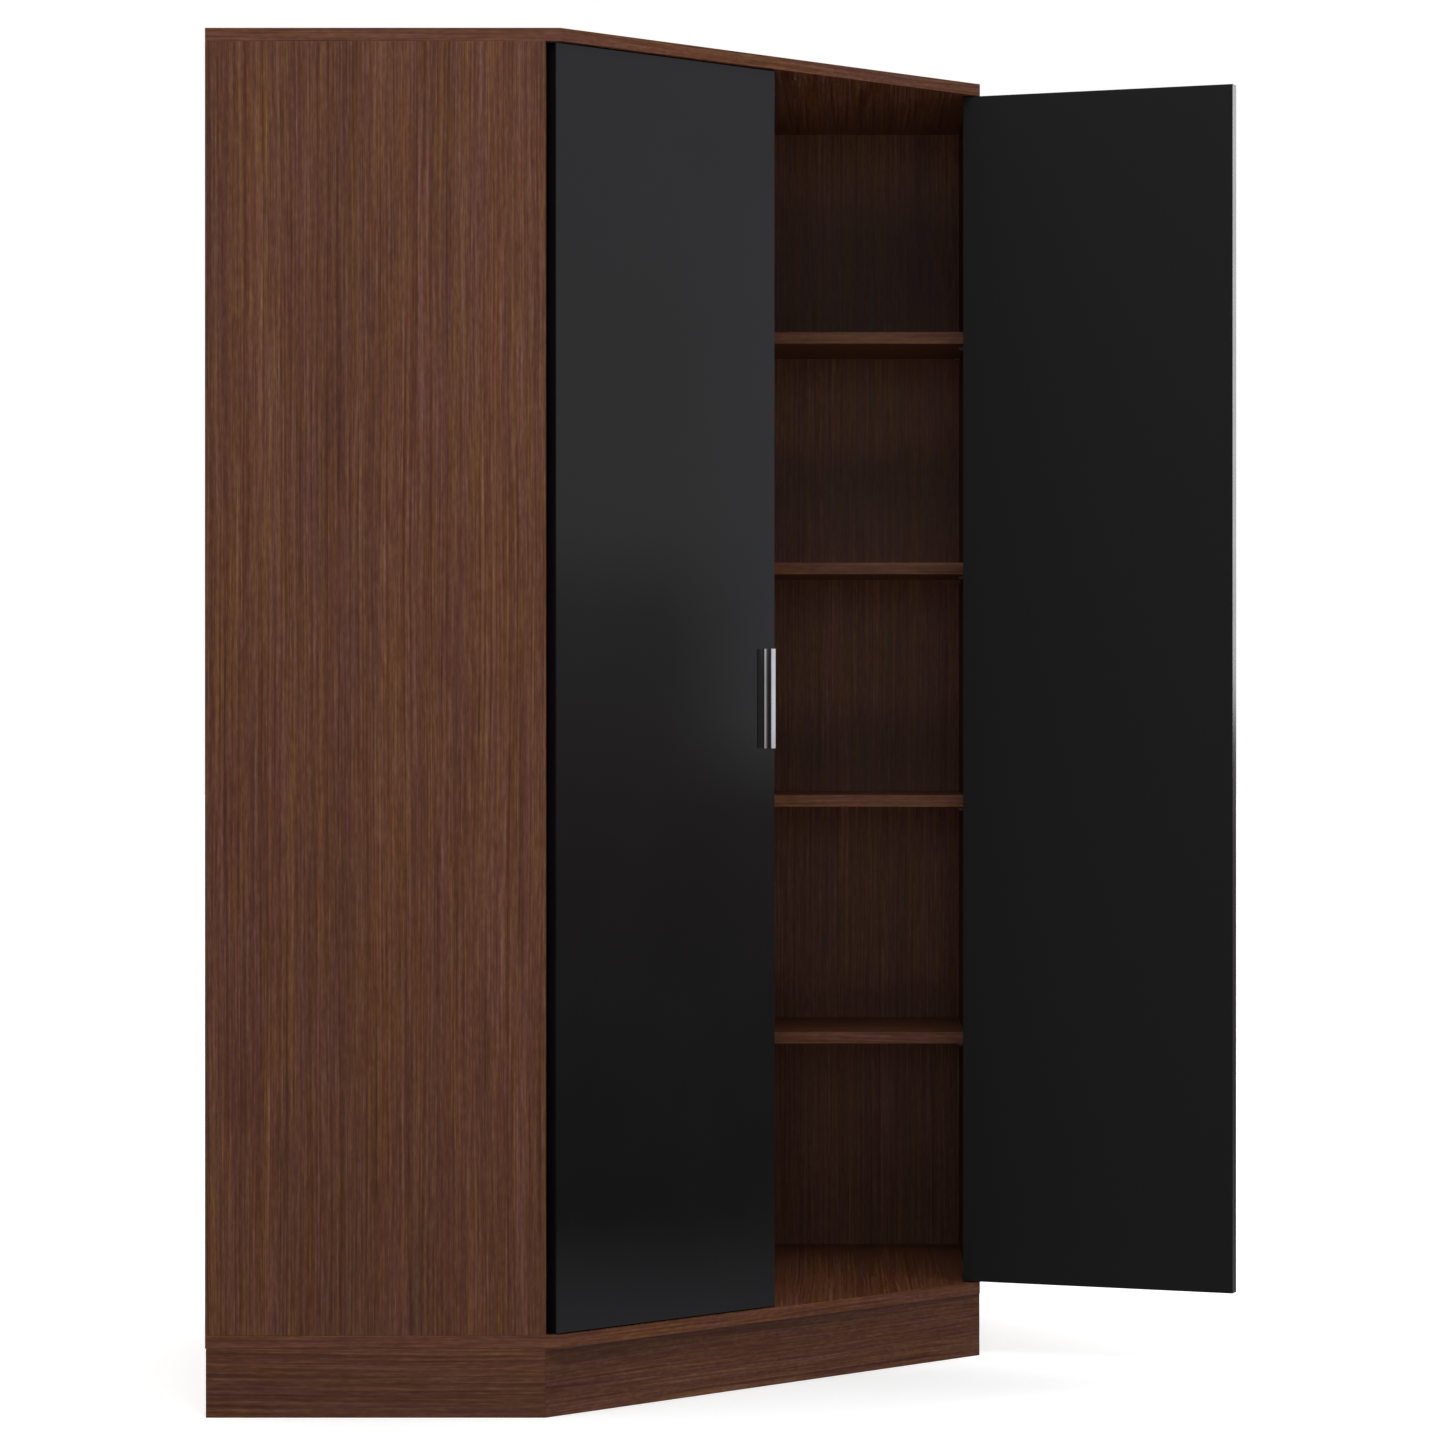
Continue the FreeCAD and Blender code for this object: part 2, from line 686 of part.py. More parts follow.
RAIL_START = -INNER + SOCKET_BASE
RAIL_END = RAIL_BRACKET_Y + SOCKET_DEPTH


def hanging_rail():
    outside = oval(RAIL_WIDTH, RAIL_HEIGHT, RAIL_START, RAIL_END)
    inside = oval(RAIL_WIDTH - 2 * RAIL_WALL, RAIL_HEIGHT - 2 * RAIL_WALL, RAIL_START - 1, RAIL_END + 1)
    return outside.cut(inside)


def rail_socket():
    """Cup on the left side panel that holds the rail's front end."""
    y = -INNER
    cup = oval(RAIL_WIDTH + 2 * SOCKET_WALL, RAIL_HEIGHT + 2 * SOCKET_WALL, y, y + SOCKET_DEPTH)
    ears = box(RAIL_X - EAR_LENGTH / 2, RAIL_X + EAR_LENGTH / 2, y, RAIL_START,
               RAIL_Z - EAR_HEIGHT / 2, RAIL_Z + EAR_HEIGHT / 2)
    corners = [e for e in ears.Edges if e.BoundBox.YLength > 1]
    room = oval(RAIL_WIDTH, RAIL_HEIGHT, RAIL_START, y + SOCKET_DEPTH + 1)
    solid = ears.makeFillet(EAR_ROUND, corners).fuse(cup).cut(room)
    return solid.cut(rail_socket_screws()).removeSplitter()


def rail_socket_screws():
    return [countersunk_screw(V(RAIL_X + side * EAR_SCREW, RAIL_START, RAIL_Z), V(0, -1, 0), SCREW_LENGTH)
            for side in (-1, 1)]


def rail_bracket():
    """Bracket hung from the top panel that holds the rail's rear end."""
    y = RAIL_BRACKET_Y
    cup = oval(RAIL_WIDTH + 2 * SOCKET_WALL, RAIL_HEIGHT + 2 * SOCKET_WALL, y, y + SOCKET_DEPTH + STRAP_THICK)
    half = STRAP_WIDTH / 2
    back = y + SOCKET_DEPTH
    strap = box(RAIL_X - half, RAIL_X + half, back, back + STRAP_THICK, RAIL_Z, CEILING_Z)
    foot = box(RAIL_X - half, RAIL_X + half, back + STRAP_THICK - FOOT_LENGTH, back + STRAP_THICK,
               CEILING_Z - STRAP_THICK, CEILING_Z)
    room = oval(RAIL_WIDTH, RAIL_HEIGHT, y - 1, back)
    return cup.fuse([strap, foot]).cut(room).cut(rail_bracket_screws()).removeSplitter()


def rail_bracket_screws():
    z = CEILING_Z - STRAP_THICK
    return [countersunk_screw(V(RAIL_X, RAIL_BRACKET_Y + dy, z), UP, SCREW_LENGTH) for dy in FOOT_SCREWS]


# ---- wall brackets ----------------------------------------------------------------------------

WALL_BRACKET_X = 140.0
WALL_BRACKET_LEG = 30.0
WALL_BRACKET_WIDTH = 40.0
WALL_BRACKET_THICK = 2.0
WALL_BRACKET_SCREW_X = 12.0
WALL_BRACKET_SCREW_Y = 18.0
WALL_HOLE = 2.75
WALL_HOLE_DROP = 18.0


def wall_hole():
    """Hole through the right back and its bracket, for a screw into the wall."""
    z = CEILING_Z - WALL_HOLE_DROP
    inner = -BACK - WALL_BRACKET_THICK - 1
    return rod(WALL_HOLE, V(WALL_BRACKET_X, 1, z), V(WALL_BRACKET_X, inner, z))


def wall_bracket():
    """Angle bracket under the top panel, against the right back."""
    half = WALL_BRACKET_WIDTH / 2
    x0 = WALL_BRACKET_X - half
    x1 = WALL_BRACKET_X + half
    across = box(x0, x1, -BACK - WALL_BRACKET_LEG, -BACK, CEILING_Z - WALL_BRACKET_THICK, CEILING_Z)
    down = box(x0, x1, -BACK - WALL_BRACKET_THICK, -BACK, CEILING_Z - WALL_BRACKET_LEG, CEILING_Z)
    return across.fuse(down).removeSplitter().cut(wall_bracket_screws() + [wall_hole()])


def wall_bracket_screws():
    z = CEILING_Z - WALL_BRACKET_THICK
    y = -BACK - WALL_BRACKET_SCREW_Y
    return [countersunk_screw(V(WALL_BRACKET_X + side * WALL_BRACKET_SCREW_X, y, z), UP, SCREW_LENGTH)
            for side in (-1, 1)]


# ---- assembly ---------------------------------------------------------------------------------

def all_nodes():
    """Every piece: node name to its list of solids."""
    bolts = per_cam(cam_bolt)
    pockets = per_cam(cam_pocket)
    pegs = dowels()
    pins = shelf_pins()
    nails = back_nails()
    floor_screws = plinth_screws()
    bush_beds = both_levels(both_sides([bush_envelope()]))
    strikes = both_sides([catch_strike()])
    stops = both_sides([door_stop()])
    bracket_screws = both_sides(wall_bracket_screws())
    rail_screws = rail_socket_screws() + rail_bracket_screws()
    wall_holes = both_sides([wall_hole()])
    carcass_tools = (bolts + pockets + pegs + pins + nails + bush_beds + strikes + stops
                     + bracket_screws + rail_screws + floor_screws + wall_holes)

    boards = {
        "top_panel": pentagon_panel(CEILING_Z),
        "bottom_panel": pentagon_panel(PLINTH_HEIGHT),
        "left_side_panel": left_side_panel(),
        "right_side_panel": other_side(left_side_panel()),
        "left_back_panel": left_back_panel(),
        "right_back_panel": right_back_panel(),
        "corner_post": corner_post(),
        "divider_panel": divider_panel(),
        "plinth_front": plinth_front(),
        "plinth_left": plinth_left(),
        "plinth_right": other_side(plinth_left()),
        "plinth_rear_left": plinth_rear_left(),
        "plinth_rear_right": plinth_rear_right(),
    }
    nodes = {name: [drilled(board, carcass_tools)] for name, board in boards.items()}
    for number, underside in enumerate(SHELF_UNDERSIDES, 1):
        nodes[f"shelf_{number}"] = [shelf(underside)]
    nodes["plinth_blocks"] = [drilled(block, floor_screws) for block in plinth_blocks()]
    nodes["plinth_screws"] = floor_screws
    nodes["shelf_pins"] = pins
    nodes["cam_bolts"] = bolts
    nodes["cam_locks"] = per_cam(cam_lock)
    nodes["cam_caps"] = per_cam(cam_cap)
    nodes["dowels"] = pegs
    nodes["back_nails"] = nails
    nodes["pivot_bushes"] = both_levels(both_sides([pivot_bush()]))
    nodes["catch_strikes"] = strikes
    nodes["door_stops"] = stops
    nodes["hanging_rail"] = [hanging_rail()]
    nodes["rail_socket"] = [rail_socket()]
    nodes["rail_bracket"] = [rail_bracket()]
    nodes["rail_screws"] = rail_screws
    nodes["wall_brackets"] = both_sides([wall_bracket()])
    nodes["wall_bracket_screws"] = bracket_screws
    for side, at in (("left", front), ("right", right_open)):
        nodes.update({f"{side}_{name}": solids for name, solids in door(at).items()})
    return nodes


def single(solids):
    """One shape for the STEP file: a lone solid, or a compound of separate ones."""
    loose = [solid for shape in solids for solid in shape.Solids]
    return loose[0] if len(loose) == 1 else Part.makeCompound(loose)


os.makedirs("parts", exist_ok=True)
for node, solids in all_nodes().items():
    single(solids).exportStep(f"parts/{node}.step")
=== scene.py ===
import bpy
import math
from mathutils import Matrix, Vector


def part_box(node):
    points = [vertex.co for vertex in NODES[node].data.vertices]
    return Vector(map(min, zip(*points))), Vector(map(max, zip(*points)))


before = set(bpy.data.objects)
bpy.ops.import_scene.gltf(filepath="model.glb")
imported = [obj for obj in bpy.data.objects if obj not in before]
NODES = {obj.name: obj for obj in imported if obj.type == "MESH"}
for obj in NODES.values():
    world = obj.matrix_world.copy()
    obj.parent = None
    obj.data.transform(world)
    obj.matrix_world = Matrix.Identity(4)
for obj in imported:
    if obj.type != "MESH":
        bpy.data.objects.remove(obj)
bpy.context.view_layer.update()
SIDES = ("left", "right")

# A face looks a given way where the cosine between the two is above this.
SAME_WAY = 0.6

# A face is level, not upright, where its normal rises or falls by more than this.
LEVEL = 0.7

# Noise seldom leaves this range.
NOISE_LOW, NOISE_HIGH = 0.3, 0.7


# ---- node trees -------------------------------------------------------------------------------

class Tree:
    """A short way to write a node tree: each call adds a node and gives its output."""

    def __init__(self, tree):
        self.nodes = tree.nodes
        self.links = tree.links

    def add(self, kind, inputs=None, **settings):
        """The new node itself. An input given as another node's output is linked, and any other is set."""
        made = self.nodes.new(kind)
        for key, value in settings.items():
            setattr(made, key, value)
        for key, value in (inputs or {}).items():
            if isinstance(value, bpy.types.NodeSocket):
                self.links.new(value, made.inputs[key])
            else:
                made.inputs[key].default_value = value
        return made

    def math(self, operation, *values):
        return self.add("ShaderNodeMath", dict(enumerate(values)), operation=operation).outputs[0]

    def vector(self, operation, *values, out=0):
        made = self.add("ShaderNodeVectorMath", dict(enumerate(values)), operation=operation)
        return made.outputs[out]

    def stretch(self, vector, scales):
        """The vector times another, axis by axis."""
        return self.vector("MULTIPLY", vector, scales)

    def scaled(self, vector, factor):
        """The vector, or colour, times a number that varies over the surface."""
        return self.add("ShaderNodeVectorMath", {0: vector, "Scale": factor}, operation="SCALE").outputs[0]

    def noise(self, vector, scale=1.0, detail=2.0, roughness=0.5, distortion=0.0, out="Fac"):
        """Noise with this many features in a metre."""
        inputs = {"Vector": vector, "Scale": scale, "Detail": detail, "Roughness": roughness,
                  "Distortion": distortion}
        return self.add("ShaderNodeTexNoise", inputs).outputs[out]

    def remap(self, value, low, high, new_low=0.0, new_high=1.0):
        inputs = {"Value": value, "From Min": low, "From Max": high, "To Min": new_low, "To Max": new_high}
        return self.add("ShaderNodeMapRange", inputs).outputs[0]

    def ramp(self, value, stops):
        """A colour ramp, where each stop is a place from 0 to 1 and a colour."""
        made = self.add("ShaderNodeValToRGB", {"Fac": value})
        elements = made.color_ramp.elements
        while len(elements) < len(stops):
            elements.new(0.5)
        for element, (place, colour) in zip(elements, stops):
            element.position = place
            element.color = (*colour, 1.0)
        return made.outputs["Color"]

    def between(self, noise, low, high):
        """A number that goes from low to high over the noise's usual range."""
        return self.remap(noise, NOISE_LOW, NOISE_HIGH, low, high)

    def tone(self, noise, first, second):
        """A colour that goes from the first to the second over the noise's usual range."""
        return self.ramp(noise, [(NOISE_LOW, first), (NOISE_HIGH, second)])

    def mix(self, factor, first, second):
        """The first colour where the factor is 0 and the second where it is 1."""
        made = self.add("ShaderNodeMix", {0: factor, 6: first, 7: second}, data_type="RGBA")
        return made.outputs[2]

    def choose(self, factor, first, second):
        """The first vector where the factor is 0 and the second where it is 1."""
        made = self.add("ShaderNodeMix", {0: factor, 4: first, 5: second}, data_type="VECTOR")
        return made.outputs[1]

    def bump(self, height, strength, distance):
        inputs = {"Height": height, "Strength": strength, "Distance": distance}
        return self.add("ShaderNodeBump", inputs).outputs[0]


class Finish(Tree):
    """The tree of a new material, with the place in metres and the normal of each point of its object."""

    def __init__(self, name):
        self.material = bpy.data.materials.new(name)
        self.material.use_nodes = True
        super().__init__(self.material.node_tree)
        self.shader = self.nodes["Principled BSDF"]
        coordinates = self.add("ShaderNodeTexCoord").outputs
        self.place = coordinates["Object"]
        self.normal = coordinates["Normal"]

    def faces(self, way):
        """1 on the faces that look this way and 0 on the others."""
        cosine = self.vector("DOT_PRODUCT", self.normal, way, out=1)
        return self.math("GREATER_THAN", cosine, SAME_WAY)

    def done(self, linked, **values):
        """The finished material, once some of its shader's inputs are linked and others are set."""
        for name, output in linked.items():
            self.links.new(output, self.shader.inputs[name])
        for name, value in values.items():
            self.shader.inputs[name.replace("_", " ")].default_value = value
        return self.material


# ---- wood -------------------------------------------------------------------------------------

WALNUT = (0.119, 0.0412, 0.0178)
LIGHTER_WALNUT = (0.135, 0.0465, 0.0200)
PINE = (0.52, 0.35, 0.19)
BEECH = (0.55, 0.37, 0.23)
HARDBOARD = (0.215, 0.128, 0.072)

# The wood's colour drifts between itself times the first and itself times the second.
WALNUT_HUES = ((0.95, 0.92, 1.50), (1.05, 1.08, 0.58))
PALE_HUES = ((0.97, 0.97, 1.05), (1.03, 1.02, 0.92))
BLUSH_HUES = ((0.97, 1.03, 1.0), (1.03, 0.97, 1.0))

# Where the grain wanders: bends in a metre on each axis, and how far it strays in metres.
BENDS = (7.0, 7.0, 1.6)
STRAY = (0.010, 0.010, 0.0)

# Patterns in the wood: features in a metre across and along the grain, then the noise's detail and roughness.
BAND = (11.0, 0.4, 2.0, 0.8)
TINT = (48.0, 2.0, 3.0, 1.0)
BLUSH = (90.0, 3.0, 2.0, 0.9)
FIBRE = (300.0, 1.8, 1.5, 0.9)
VEIN = (190.0, 1.1, 1.0, 0.6)
THREAD = (420.0, 15.0, 1.5, 0.8)
TICK = (260.0, 60.0, 1.0, 0.7)

# A pattern runs from -0.5 to 0.5, and nearly all of it lies within this of zero.
SPREAD = 0.2

# Veins are only the peaks of their pattern, between these two levels.
VEIN_PEAKS = (0.08, 0.22)

# The wood's colour is raised to a power, so that a larger one is darker: the plain wood's power, and how
# much a fibre, a vein, a thread and a tick add to it. The bands only scale the brightness.
PLAIN_DEPTH = 0.98
DEPTHS = (-0.72, 0.16, -0.45, -0.35)
BAND_LIGHT = 0.9

WOOD_BUMP = 0.15
WOOD_BUMP_HEIGHT = 0.0003
BARE_WOOD = {"roughness": 0.6, "relief": 1.6, "hues": PALE_HUES}


def grain(made, direction, offset):
    """Coordinates whose third axis runs along the grain, on the faces and on the edges of a board."""
    moved = made.vector("ADD", made.place, offset)
    if direction == "upright":
        return moved
    x, y, z = made.add("ShaderNodeSeparateXYZ", {0: moved}).outputs
    across, along = (y, x) if direction == "x" else (x, y)
    face = made.add("ShaderNodeCombineXYZ", {0: across, 1: z, 2: along}).outputs[0]
    edge = made.add("ShaderNodeCombineXYZ", {0: z, 1: 0.0, 2: made.math("ADD", x, y)}).outputs[0]
    rise = made.add("ShaderNodeSeparateXYZ", {0: made.normal}).outputs[2]
    level = made.math("GREATER_THAN", made.math("ABSOLUTE", rise), LEVEL)
    return made.choose(level, edge, face)


def hardboard(made):
    """Colour of bare hardboard: pressed brown fibre with darker flecks and a cloudy tone."""
    fibre = made.noise(made.place, scale=380.0, detail=4.0, roughness=0.8, distortion=1.5)
    cloud = made.noise(made.place, scale=5.0, detail=6.0, roughness=0.7)
    light = made.math("MULTIPLY_ADD", fibre, 1.1, made.math("MULTIPLY_ADD", cloud, 0.3, 0.3))
    return made.scaled(HARDBOARD, light)


def wood(name, colour, direction, offset, roughness=0.45, relief=1.0, hues=WALNUT_HUES, bare=None):
    """
    Straight-grained wood: broad bands, fibres and pores, all drawn out along the grain, over a drift of hue.
    Where bare gives a face's normal, that face is uncovered hardboard instead.
    """
    made = Finish(name)
    coordinates = grain(made, direction, offset)
    wander = made.noise(made.stretch(coordinates, BENDS), detail=1.0, out="Color")
    sway = made.vector("SUBTRACT", wander, (0.5, 0.5, 0.5))
    bent = made.vector("ADD", coordinates, made.stretch(sway, STRAY))

    def pattern(across, along, detail, evenness):
        drawn = made.stretch(bent, (across, across, along))
        return made.math("SUBTRACT", made.noise(drawn, detail=detail, roughness=evenness), 0.5)

    def drift(shade, factor, low, high):
        """The shade times a colour that goes from low to high with the factor."""
        way = made.remap(factor, -SPREAD, SPREAD)
        return made.mix(way, made.stretch(shade, low), made.stretch(shade, high))

    fibre = pattern(*FIBRE)
    vein = made.remap(pattern(*VEIN), *VEIN_PEAKS)
    thread = pattern(*THREAD)
    tick = pattern(*TICK)
    depth = PLAIN_DEPTH
    for figure, weight in zip((fibre, vein, thread, tick), DEPTHS):
        depth = made.math("MULTIPLY_ADD", figure, weight, depth)
    tone = made.add("ShaderNodeGamma", {"Color": (*colour, 1.0), "Gamma": depth}).outputs[0]
    banded = made.scaled(tone, made.math("MULTIPLY_ADD", pattern(*BAND), BAND_LIGHT, 1.0))
    shaded = drift(banded, pattern(*TINT), *hues)
    shaded = drift(shaded, pattern(*BLUSH), *BLUSH_HUES)
    uneven = made.remap(fibre, -SPREAD, SPREAD, roughness - 0.05, roughness + 0.07)
    if bare is not None:
        uncovered = made.faces(bare)
        shaded = made.mix(uncovered, shaded, hardboard(made))
        uneven = made.math("MULTIPLY_ADD", uncovered, 0.25, uneven)
    height = made.math("ADD", fibre, made.math("ADD", thread, tick))
    relieved = made.bump(height, WOOD_BUMP * relief, WOOD_BUMP_HEIGHT)
    return made.done({"Base Color": shaded, "Roughness": uneven, "Normal": relieved}, Specular_IOR_Level=0.25)


# ---- black boards -----------------------------------------------------------------------------

POLISH = (0.035, 0.075)
SATIN = (0.22, 0.27)
MATT = (0.50, 0.62)
GLOSS_BLACKS = ((0.0050, 0.0050, 0.0056), (0.0068, 0.0067, 0.0072))
MATT_BLACKS = [(0.35, (0.0042, 0.0041, 0.0042)), (0.65, (0.0062, 0.0060, 0.0060))]
PEEL_HEIGHT = 0.10
GRIT_HEIGHT = 1.4


def black_skin(name):
    """What both black finishes start from: a slow haze, and a fine ripple as a height."""
    made = Finish(name)
    haze = made.noise(made.place, scale=6.0, detail=4.0)
    peel = made.noise(made.place, scale=420.0, detail=1.0)
    return made, haze, made.math("MULTIPLY", peel, PEEL_HEIGHT)


def black_done(made, colour, roughness, height, specular):
    rippled = made.bump(height, strength=0.10, distance=0.0002)
    return made.done({"Base Color": colour, "Roughness": roughness, "Normal": rippled},
                     IOR=1.5, Specular_IOR_Level=specular)


def gloss_black(name):
    """Polished black sheet with a faint waviness."""
    made, haze, ripple = black_skin(name)
    polished = made.between(haze, *POLISH)
    return black_done(made, made.tone(haze, *GLOSS_BLACKS), polished, ripple, specular=0.42)


def board_black(name, matt_way):
    """Black board: matt on the face that looks this way, and satin on the edges."""
    made, haze, ripple = black_skin(name)
    grit = made.noise(made.place, scale=2400.0, detail=2.0)
    matt = made.faces(matt_way)
    dull = made.math("MULTIPLY", made.between(grit, *MATT), matt)
    satin = made.math("MULTIPLY", made.between(haze, *SATIN), made.math("SUBTRACT", 1.0, matt))
    colour = made.mix(matt, made.tone(haze, *GLOSS_BLACKS), made.ramp(grit, MATT_BLACKS))
    rough = made.math("MULTIPLY", made.math("MULTIPLY", grit, matt), GRIT_HEIGHT)
    height = made.math("ADD", ripple, rough)
    return black_done(made, colour, made.math("ADD", dull, satin), height, specular=0.24)


# ---- metal and plastic ------------------------------------------------------------------------

CHROME = (0.94, 0.96, 1.0)
ZINC = (0.66, 0.67, 0.68)
NICKEL = (0.52, 0.51, 0.49)
BLACK_NYLON = (0.018, 0.018, 0.018)
CAP_BLACK = (0.0046, 0.0045, 0.0045)
BROWN_PLASTIC = (0.085, 0.036, 0.020)
BROWN_LACQUER = (0.075, 0.030, 0.016)

# Lines or specks in a metre on each axis.
DRAWN = (900.0, 900.0, 20.0)
PLATED = (500.0, 500.0, 500.0)
FINE_PLATED = (600.0, 600.0, 600.0)


def metal(name, colour, roughness, lines_per_metre):
    """Bright metal with fine lines or specks and a slightly uneven polish."""
    made = Finish(name)
    lines = made.noise(made.stretch(made.place, lines_per_metre), detail=3.0)
    cloud = made.noise(made.place, scale=40.0, detail=3.0)
    darker = tuple(part * 0.86 for part in colour)
    tone = made.tone(cloud, darker, colour)
    uneven = made.math("ADD", made.math("MULTIPLY", lines, 0.5), made.math("MULTIPLY", cloud, 0.5))
    worn = made.between(uneven, roughness * 0.7, roughness * 1.4)
    lined = made.bump(lines, strength=0.04, distance=0.0001)
    return made.done({"Base Color": tone, "Roughness": worn, "Normal": lined}, Metallic=1.0)


def plastic(name, colour, roughness=0.45, specular=0.5):
    """Moulded plastic, or thick lacquer, with a fine spark texture."""
    made = Finish(name)
    spark = made.noise(made.place, scale=1800.0, detail=2.0)
    cloud = made.noise(made.place, scale=60.0, detail=2.0)
    lighter = tuple(part * 1.25 for part in colour)
    tone = made.tone(cloud, colour, lighter)
    worn = made.between(spark, roughness - 0.06, roughness + 0.08)
    sparked = made.bump(spark, strength=0.15, distance=0.0001)
    return made.done({"Base Color": tone, "Roughness": worn, "Normal": sparked}, Specular_IOR_Level=specular)


# ---- CAD nodes and their finishes -------------------------------------------------------------

# The way the grain runs on each walnut board.
GRAINS = {
    "top_panel": "y",
    "bottom_panel": "y",
    "left_side_panel": "upright",
    "right_side_panel": "upright",
    "divider_panel": "upright",
    "left_back_panel": "upright",
    "right_back_panel": "upright",
    "plinth_front": "x",
    "plinth_left": "x",
    "plinth_right": "x",
    "shelf_1": "x",
    "shelf_2": "x",
    "shelf_3": "x",
    "shelf_4": "x",
    "corner_post": "upright",
}
# The top and bottom panels are a lighter walnut than the other boards.
SHADES = {"top_panel": LIGHTER_WALNUT, "bottom_panel": LIGHTER_WALNUT}
BARE_SIDES = {"left_back_panel": (-1.0, 0.0, 0.0), "right_back_panel": (0.0, 1.0, 0.0)}

# From one board to the next, the place in the wood that it is cut from moves by this many metres.
CUT_STEP = (1.37, 2.11, 0.83)


def dress(node, made):
    """Gives a CAD node its finish."""
    mesh = NODES[node].data
    mesh.materials.clear()
    mesh.materials.append(made)


def dress_all(made, nodes):
    for node in nodes:
        dress(node, made)


def both(*names):
    """The nodes of these names on the left door and on the right one."""
    return [f"{side}_{name}" for name in names for side in SIDES]


def dress_boards():
    """Each walnut board is its own cut of wood, so each has its own place in the grain."""
    for number, (node, direction) in enumerate(GRAINS.items()):
        offset = tuple(step * number for step in CUT_STEP)
        shade = SHADES.get(node, WALNUT)
        dress(node, wood(f"walnut_{node}", shade, direction, offset, bare=BARE_SIDES.get(node)))


def back_normal(board, facing):
    """The way that a door's inner face looks: across its largest face, away from the gloss facing."""
    largest = max(NODES[board].data.polygons, key=lambda p: p.area).normal
    board_low, board_high = (Vector(corner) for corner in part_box(board))
    facing_low, facing_high = (Vector(corner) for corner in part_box(facing))
    inward = (board_low + board_high) / 2 - (facing_low + facing_high) / 2
    return tuple(largest if largest.dot(inward) > 0 else -largest)


def dress_doors():
    for side in SIDES:
        board, facing = f"{side}_door_board", f"{side}_door_facing"
        dress(facing, gloss_black(f"gloss_black_{side}_front"))
        dress(board, board_black(f"black_{side}_board", back_normal(board, facing)))
        cap = plastic(f"black_cap_{side}", CAP_BLACK, roughness=0.55, specular=0.24)
        dress(f"{side}_handle_screw_caps", cap)


def dress_bare_wood():
    dress("plinth_blocks", wood("bare_pine", PINE, "upright", (0.0, 0.0, 0.0), **BARE_WOOD))
    dress("dowels", wood("beech_dowel", BEECH, "upright", (0.0, 0.0, 0.0), **BARE_WOOD))
    dress_all(wood("bare_pine_level", PINE, "x", (5.0, 3.0, 0.0), **BARE_WOOD),
              ["plinth_rear_left", "plinth_rear_right"])


def dress_fittings():
    dress_all(metal("polished_chrome", CHROME, 0.08, DRAWN),
              both("handle") + ["hanging_rail", "rail_socket", "rail_bracket"])
    dress_all(metal("zinc_plate", ZINC, 0.30, PLATED),
              ["cam_bolts", "cam_locks", "back_nails", "plinth_screws", "rail_screws", "wall_brackets",
               "wall_bracket_screws"] + both("pivot_plates", "pivot_screws", "handle_screws"))
    dress_all(metal("nickel_plate", NICKEL, 0.18, FINE_PLATED), both("door_magnet"))
    dress("pivot_bushes", plastic("black_nylon", BLACK_NYLON))
    dress_all(plastic("brown_plastic", BROWN_PLASTIC), ["cam_caps", "door_stops", "shelf_pins"])
    dress("catch_strikes", plastic("brown_lacquer", BROWN_LACQUER, roughness=0.35))


# ---- studio -----------------------------------------------------------------------------------

WHITE = (1.0, 1.0, 1.0)
WARM = (1.0, 0.87, 0.82)
COOL = (0.97, 0.98, 1.05)

# The camera's place, its focal length in sensor widths and its shift, all solved from the outline.
CAMERA_PLACE = (0.8561, -7.5015, 0.9851)
FOCAL_RATIO = 3.25256
SHIFT = (-0.07526, -0.01759)
SENSOR_MM = 36.0
VIEW_DISTANCE = 200.0

# The studio's light by height: the sine of the elevation, the brightness there and its tint.
SKY = [
    (-1.0, 0.45, WHITE), (-0.20, 0.39, WHITE), (-0.135, 0.46, COOL), (-0.11, 0.11, WHITE),
    (-0.04, 0.19, WARM), (-0.02, 0.23, WARM), (-0.01, 0.30, WARM),
    (0.02, 0.35, WHITE), (0.035, 0.61, WHITE), (0.14, 0.65, COOL),
    (0.24, 0.19, WHITE), (0.70, 0.20, WHITE), (0.78, 1.50, WHITE), (1.0, 1.70, WHITE),
]

# Soft lamps: the place, the target, the width and height, and the power in watts.
LAMPS = {
    "key": ((0.9, -3.0, 3.6), (0.6, -0.8, 1.2), (1.6, 1.2), 24.0),
    "front": ((0.86, -6.5, 1.9), (0.8, -0.8, 1.0), (1.5, 1.5), 11.0),
    "left": ((-2.5, -5.0, 2.6), (0.6, -0.8, 1.2), (1.5, 1.5), 10.0),
    "right": ((3.2, -5.0, 2.4), (0.8, -0.6, 1.0), (2.0, 2.0), 9.0),
    "rim": ((3.1, 1.25, 1.70), (1.43, -0.65, 1.4), (1.1, 1.5), 12.0),
    "rear_left": ((-3.2, 3.6, 2.6), (0.5, -0.4, 1.0), (2.0, 2.0), 70.0),
    "rear_right": ((4.6, 2.4, 2.6), (0.5, -0.4, 1.0), (2.0, 2.0), 70.0),
}
UNSEEN_IN_GLOSS = ("rear_left", "rear_right")

LOW_LIGHT_PLACE = (1.0, -2.2, 0.05)
LOW_LIGHT_TARGET = (1.0, -0.4, 1.2)
LOW_LIGHT_WATTS = 42.0
LOW_LIGHT_SPREAD = 80
LOW_LIGHT_RADIUS = 0.4

REFLECTOR_X = 3.5
REFLECTOR_NEAR, REFLECTOR_FAR = -1.02, 0.8
REFLECTOR_LOW, REFLECTOR_HIGH = 0.76, 2.0
NEAR_FADE, LOW_FADE = 0.22, 0.18
REFLECTOR_GLOW = 0.68

FLOOR_HALF = 40.0
FLOOR_PALES = ((0.86, 0.86, 0.86), (0.88, 0.88, 0.88))
FLOOR_GLOW = 0.42


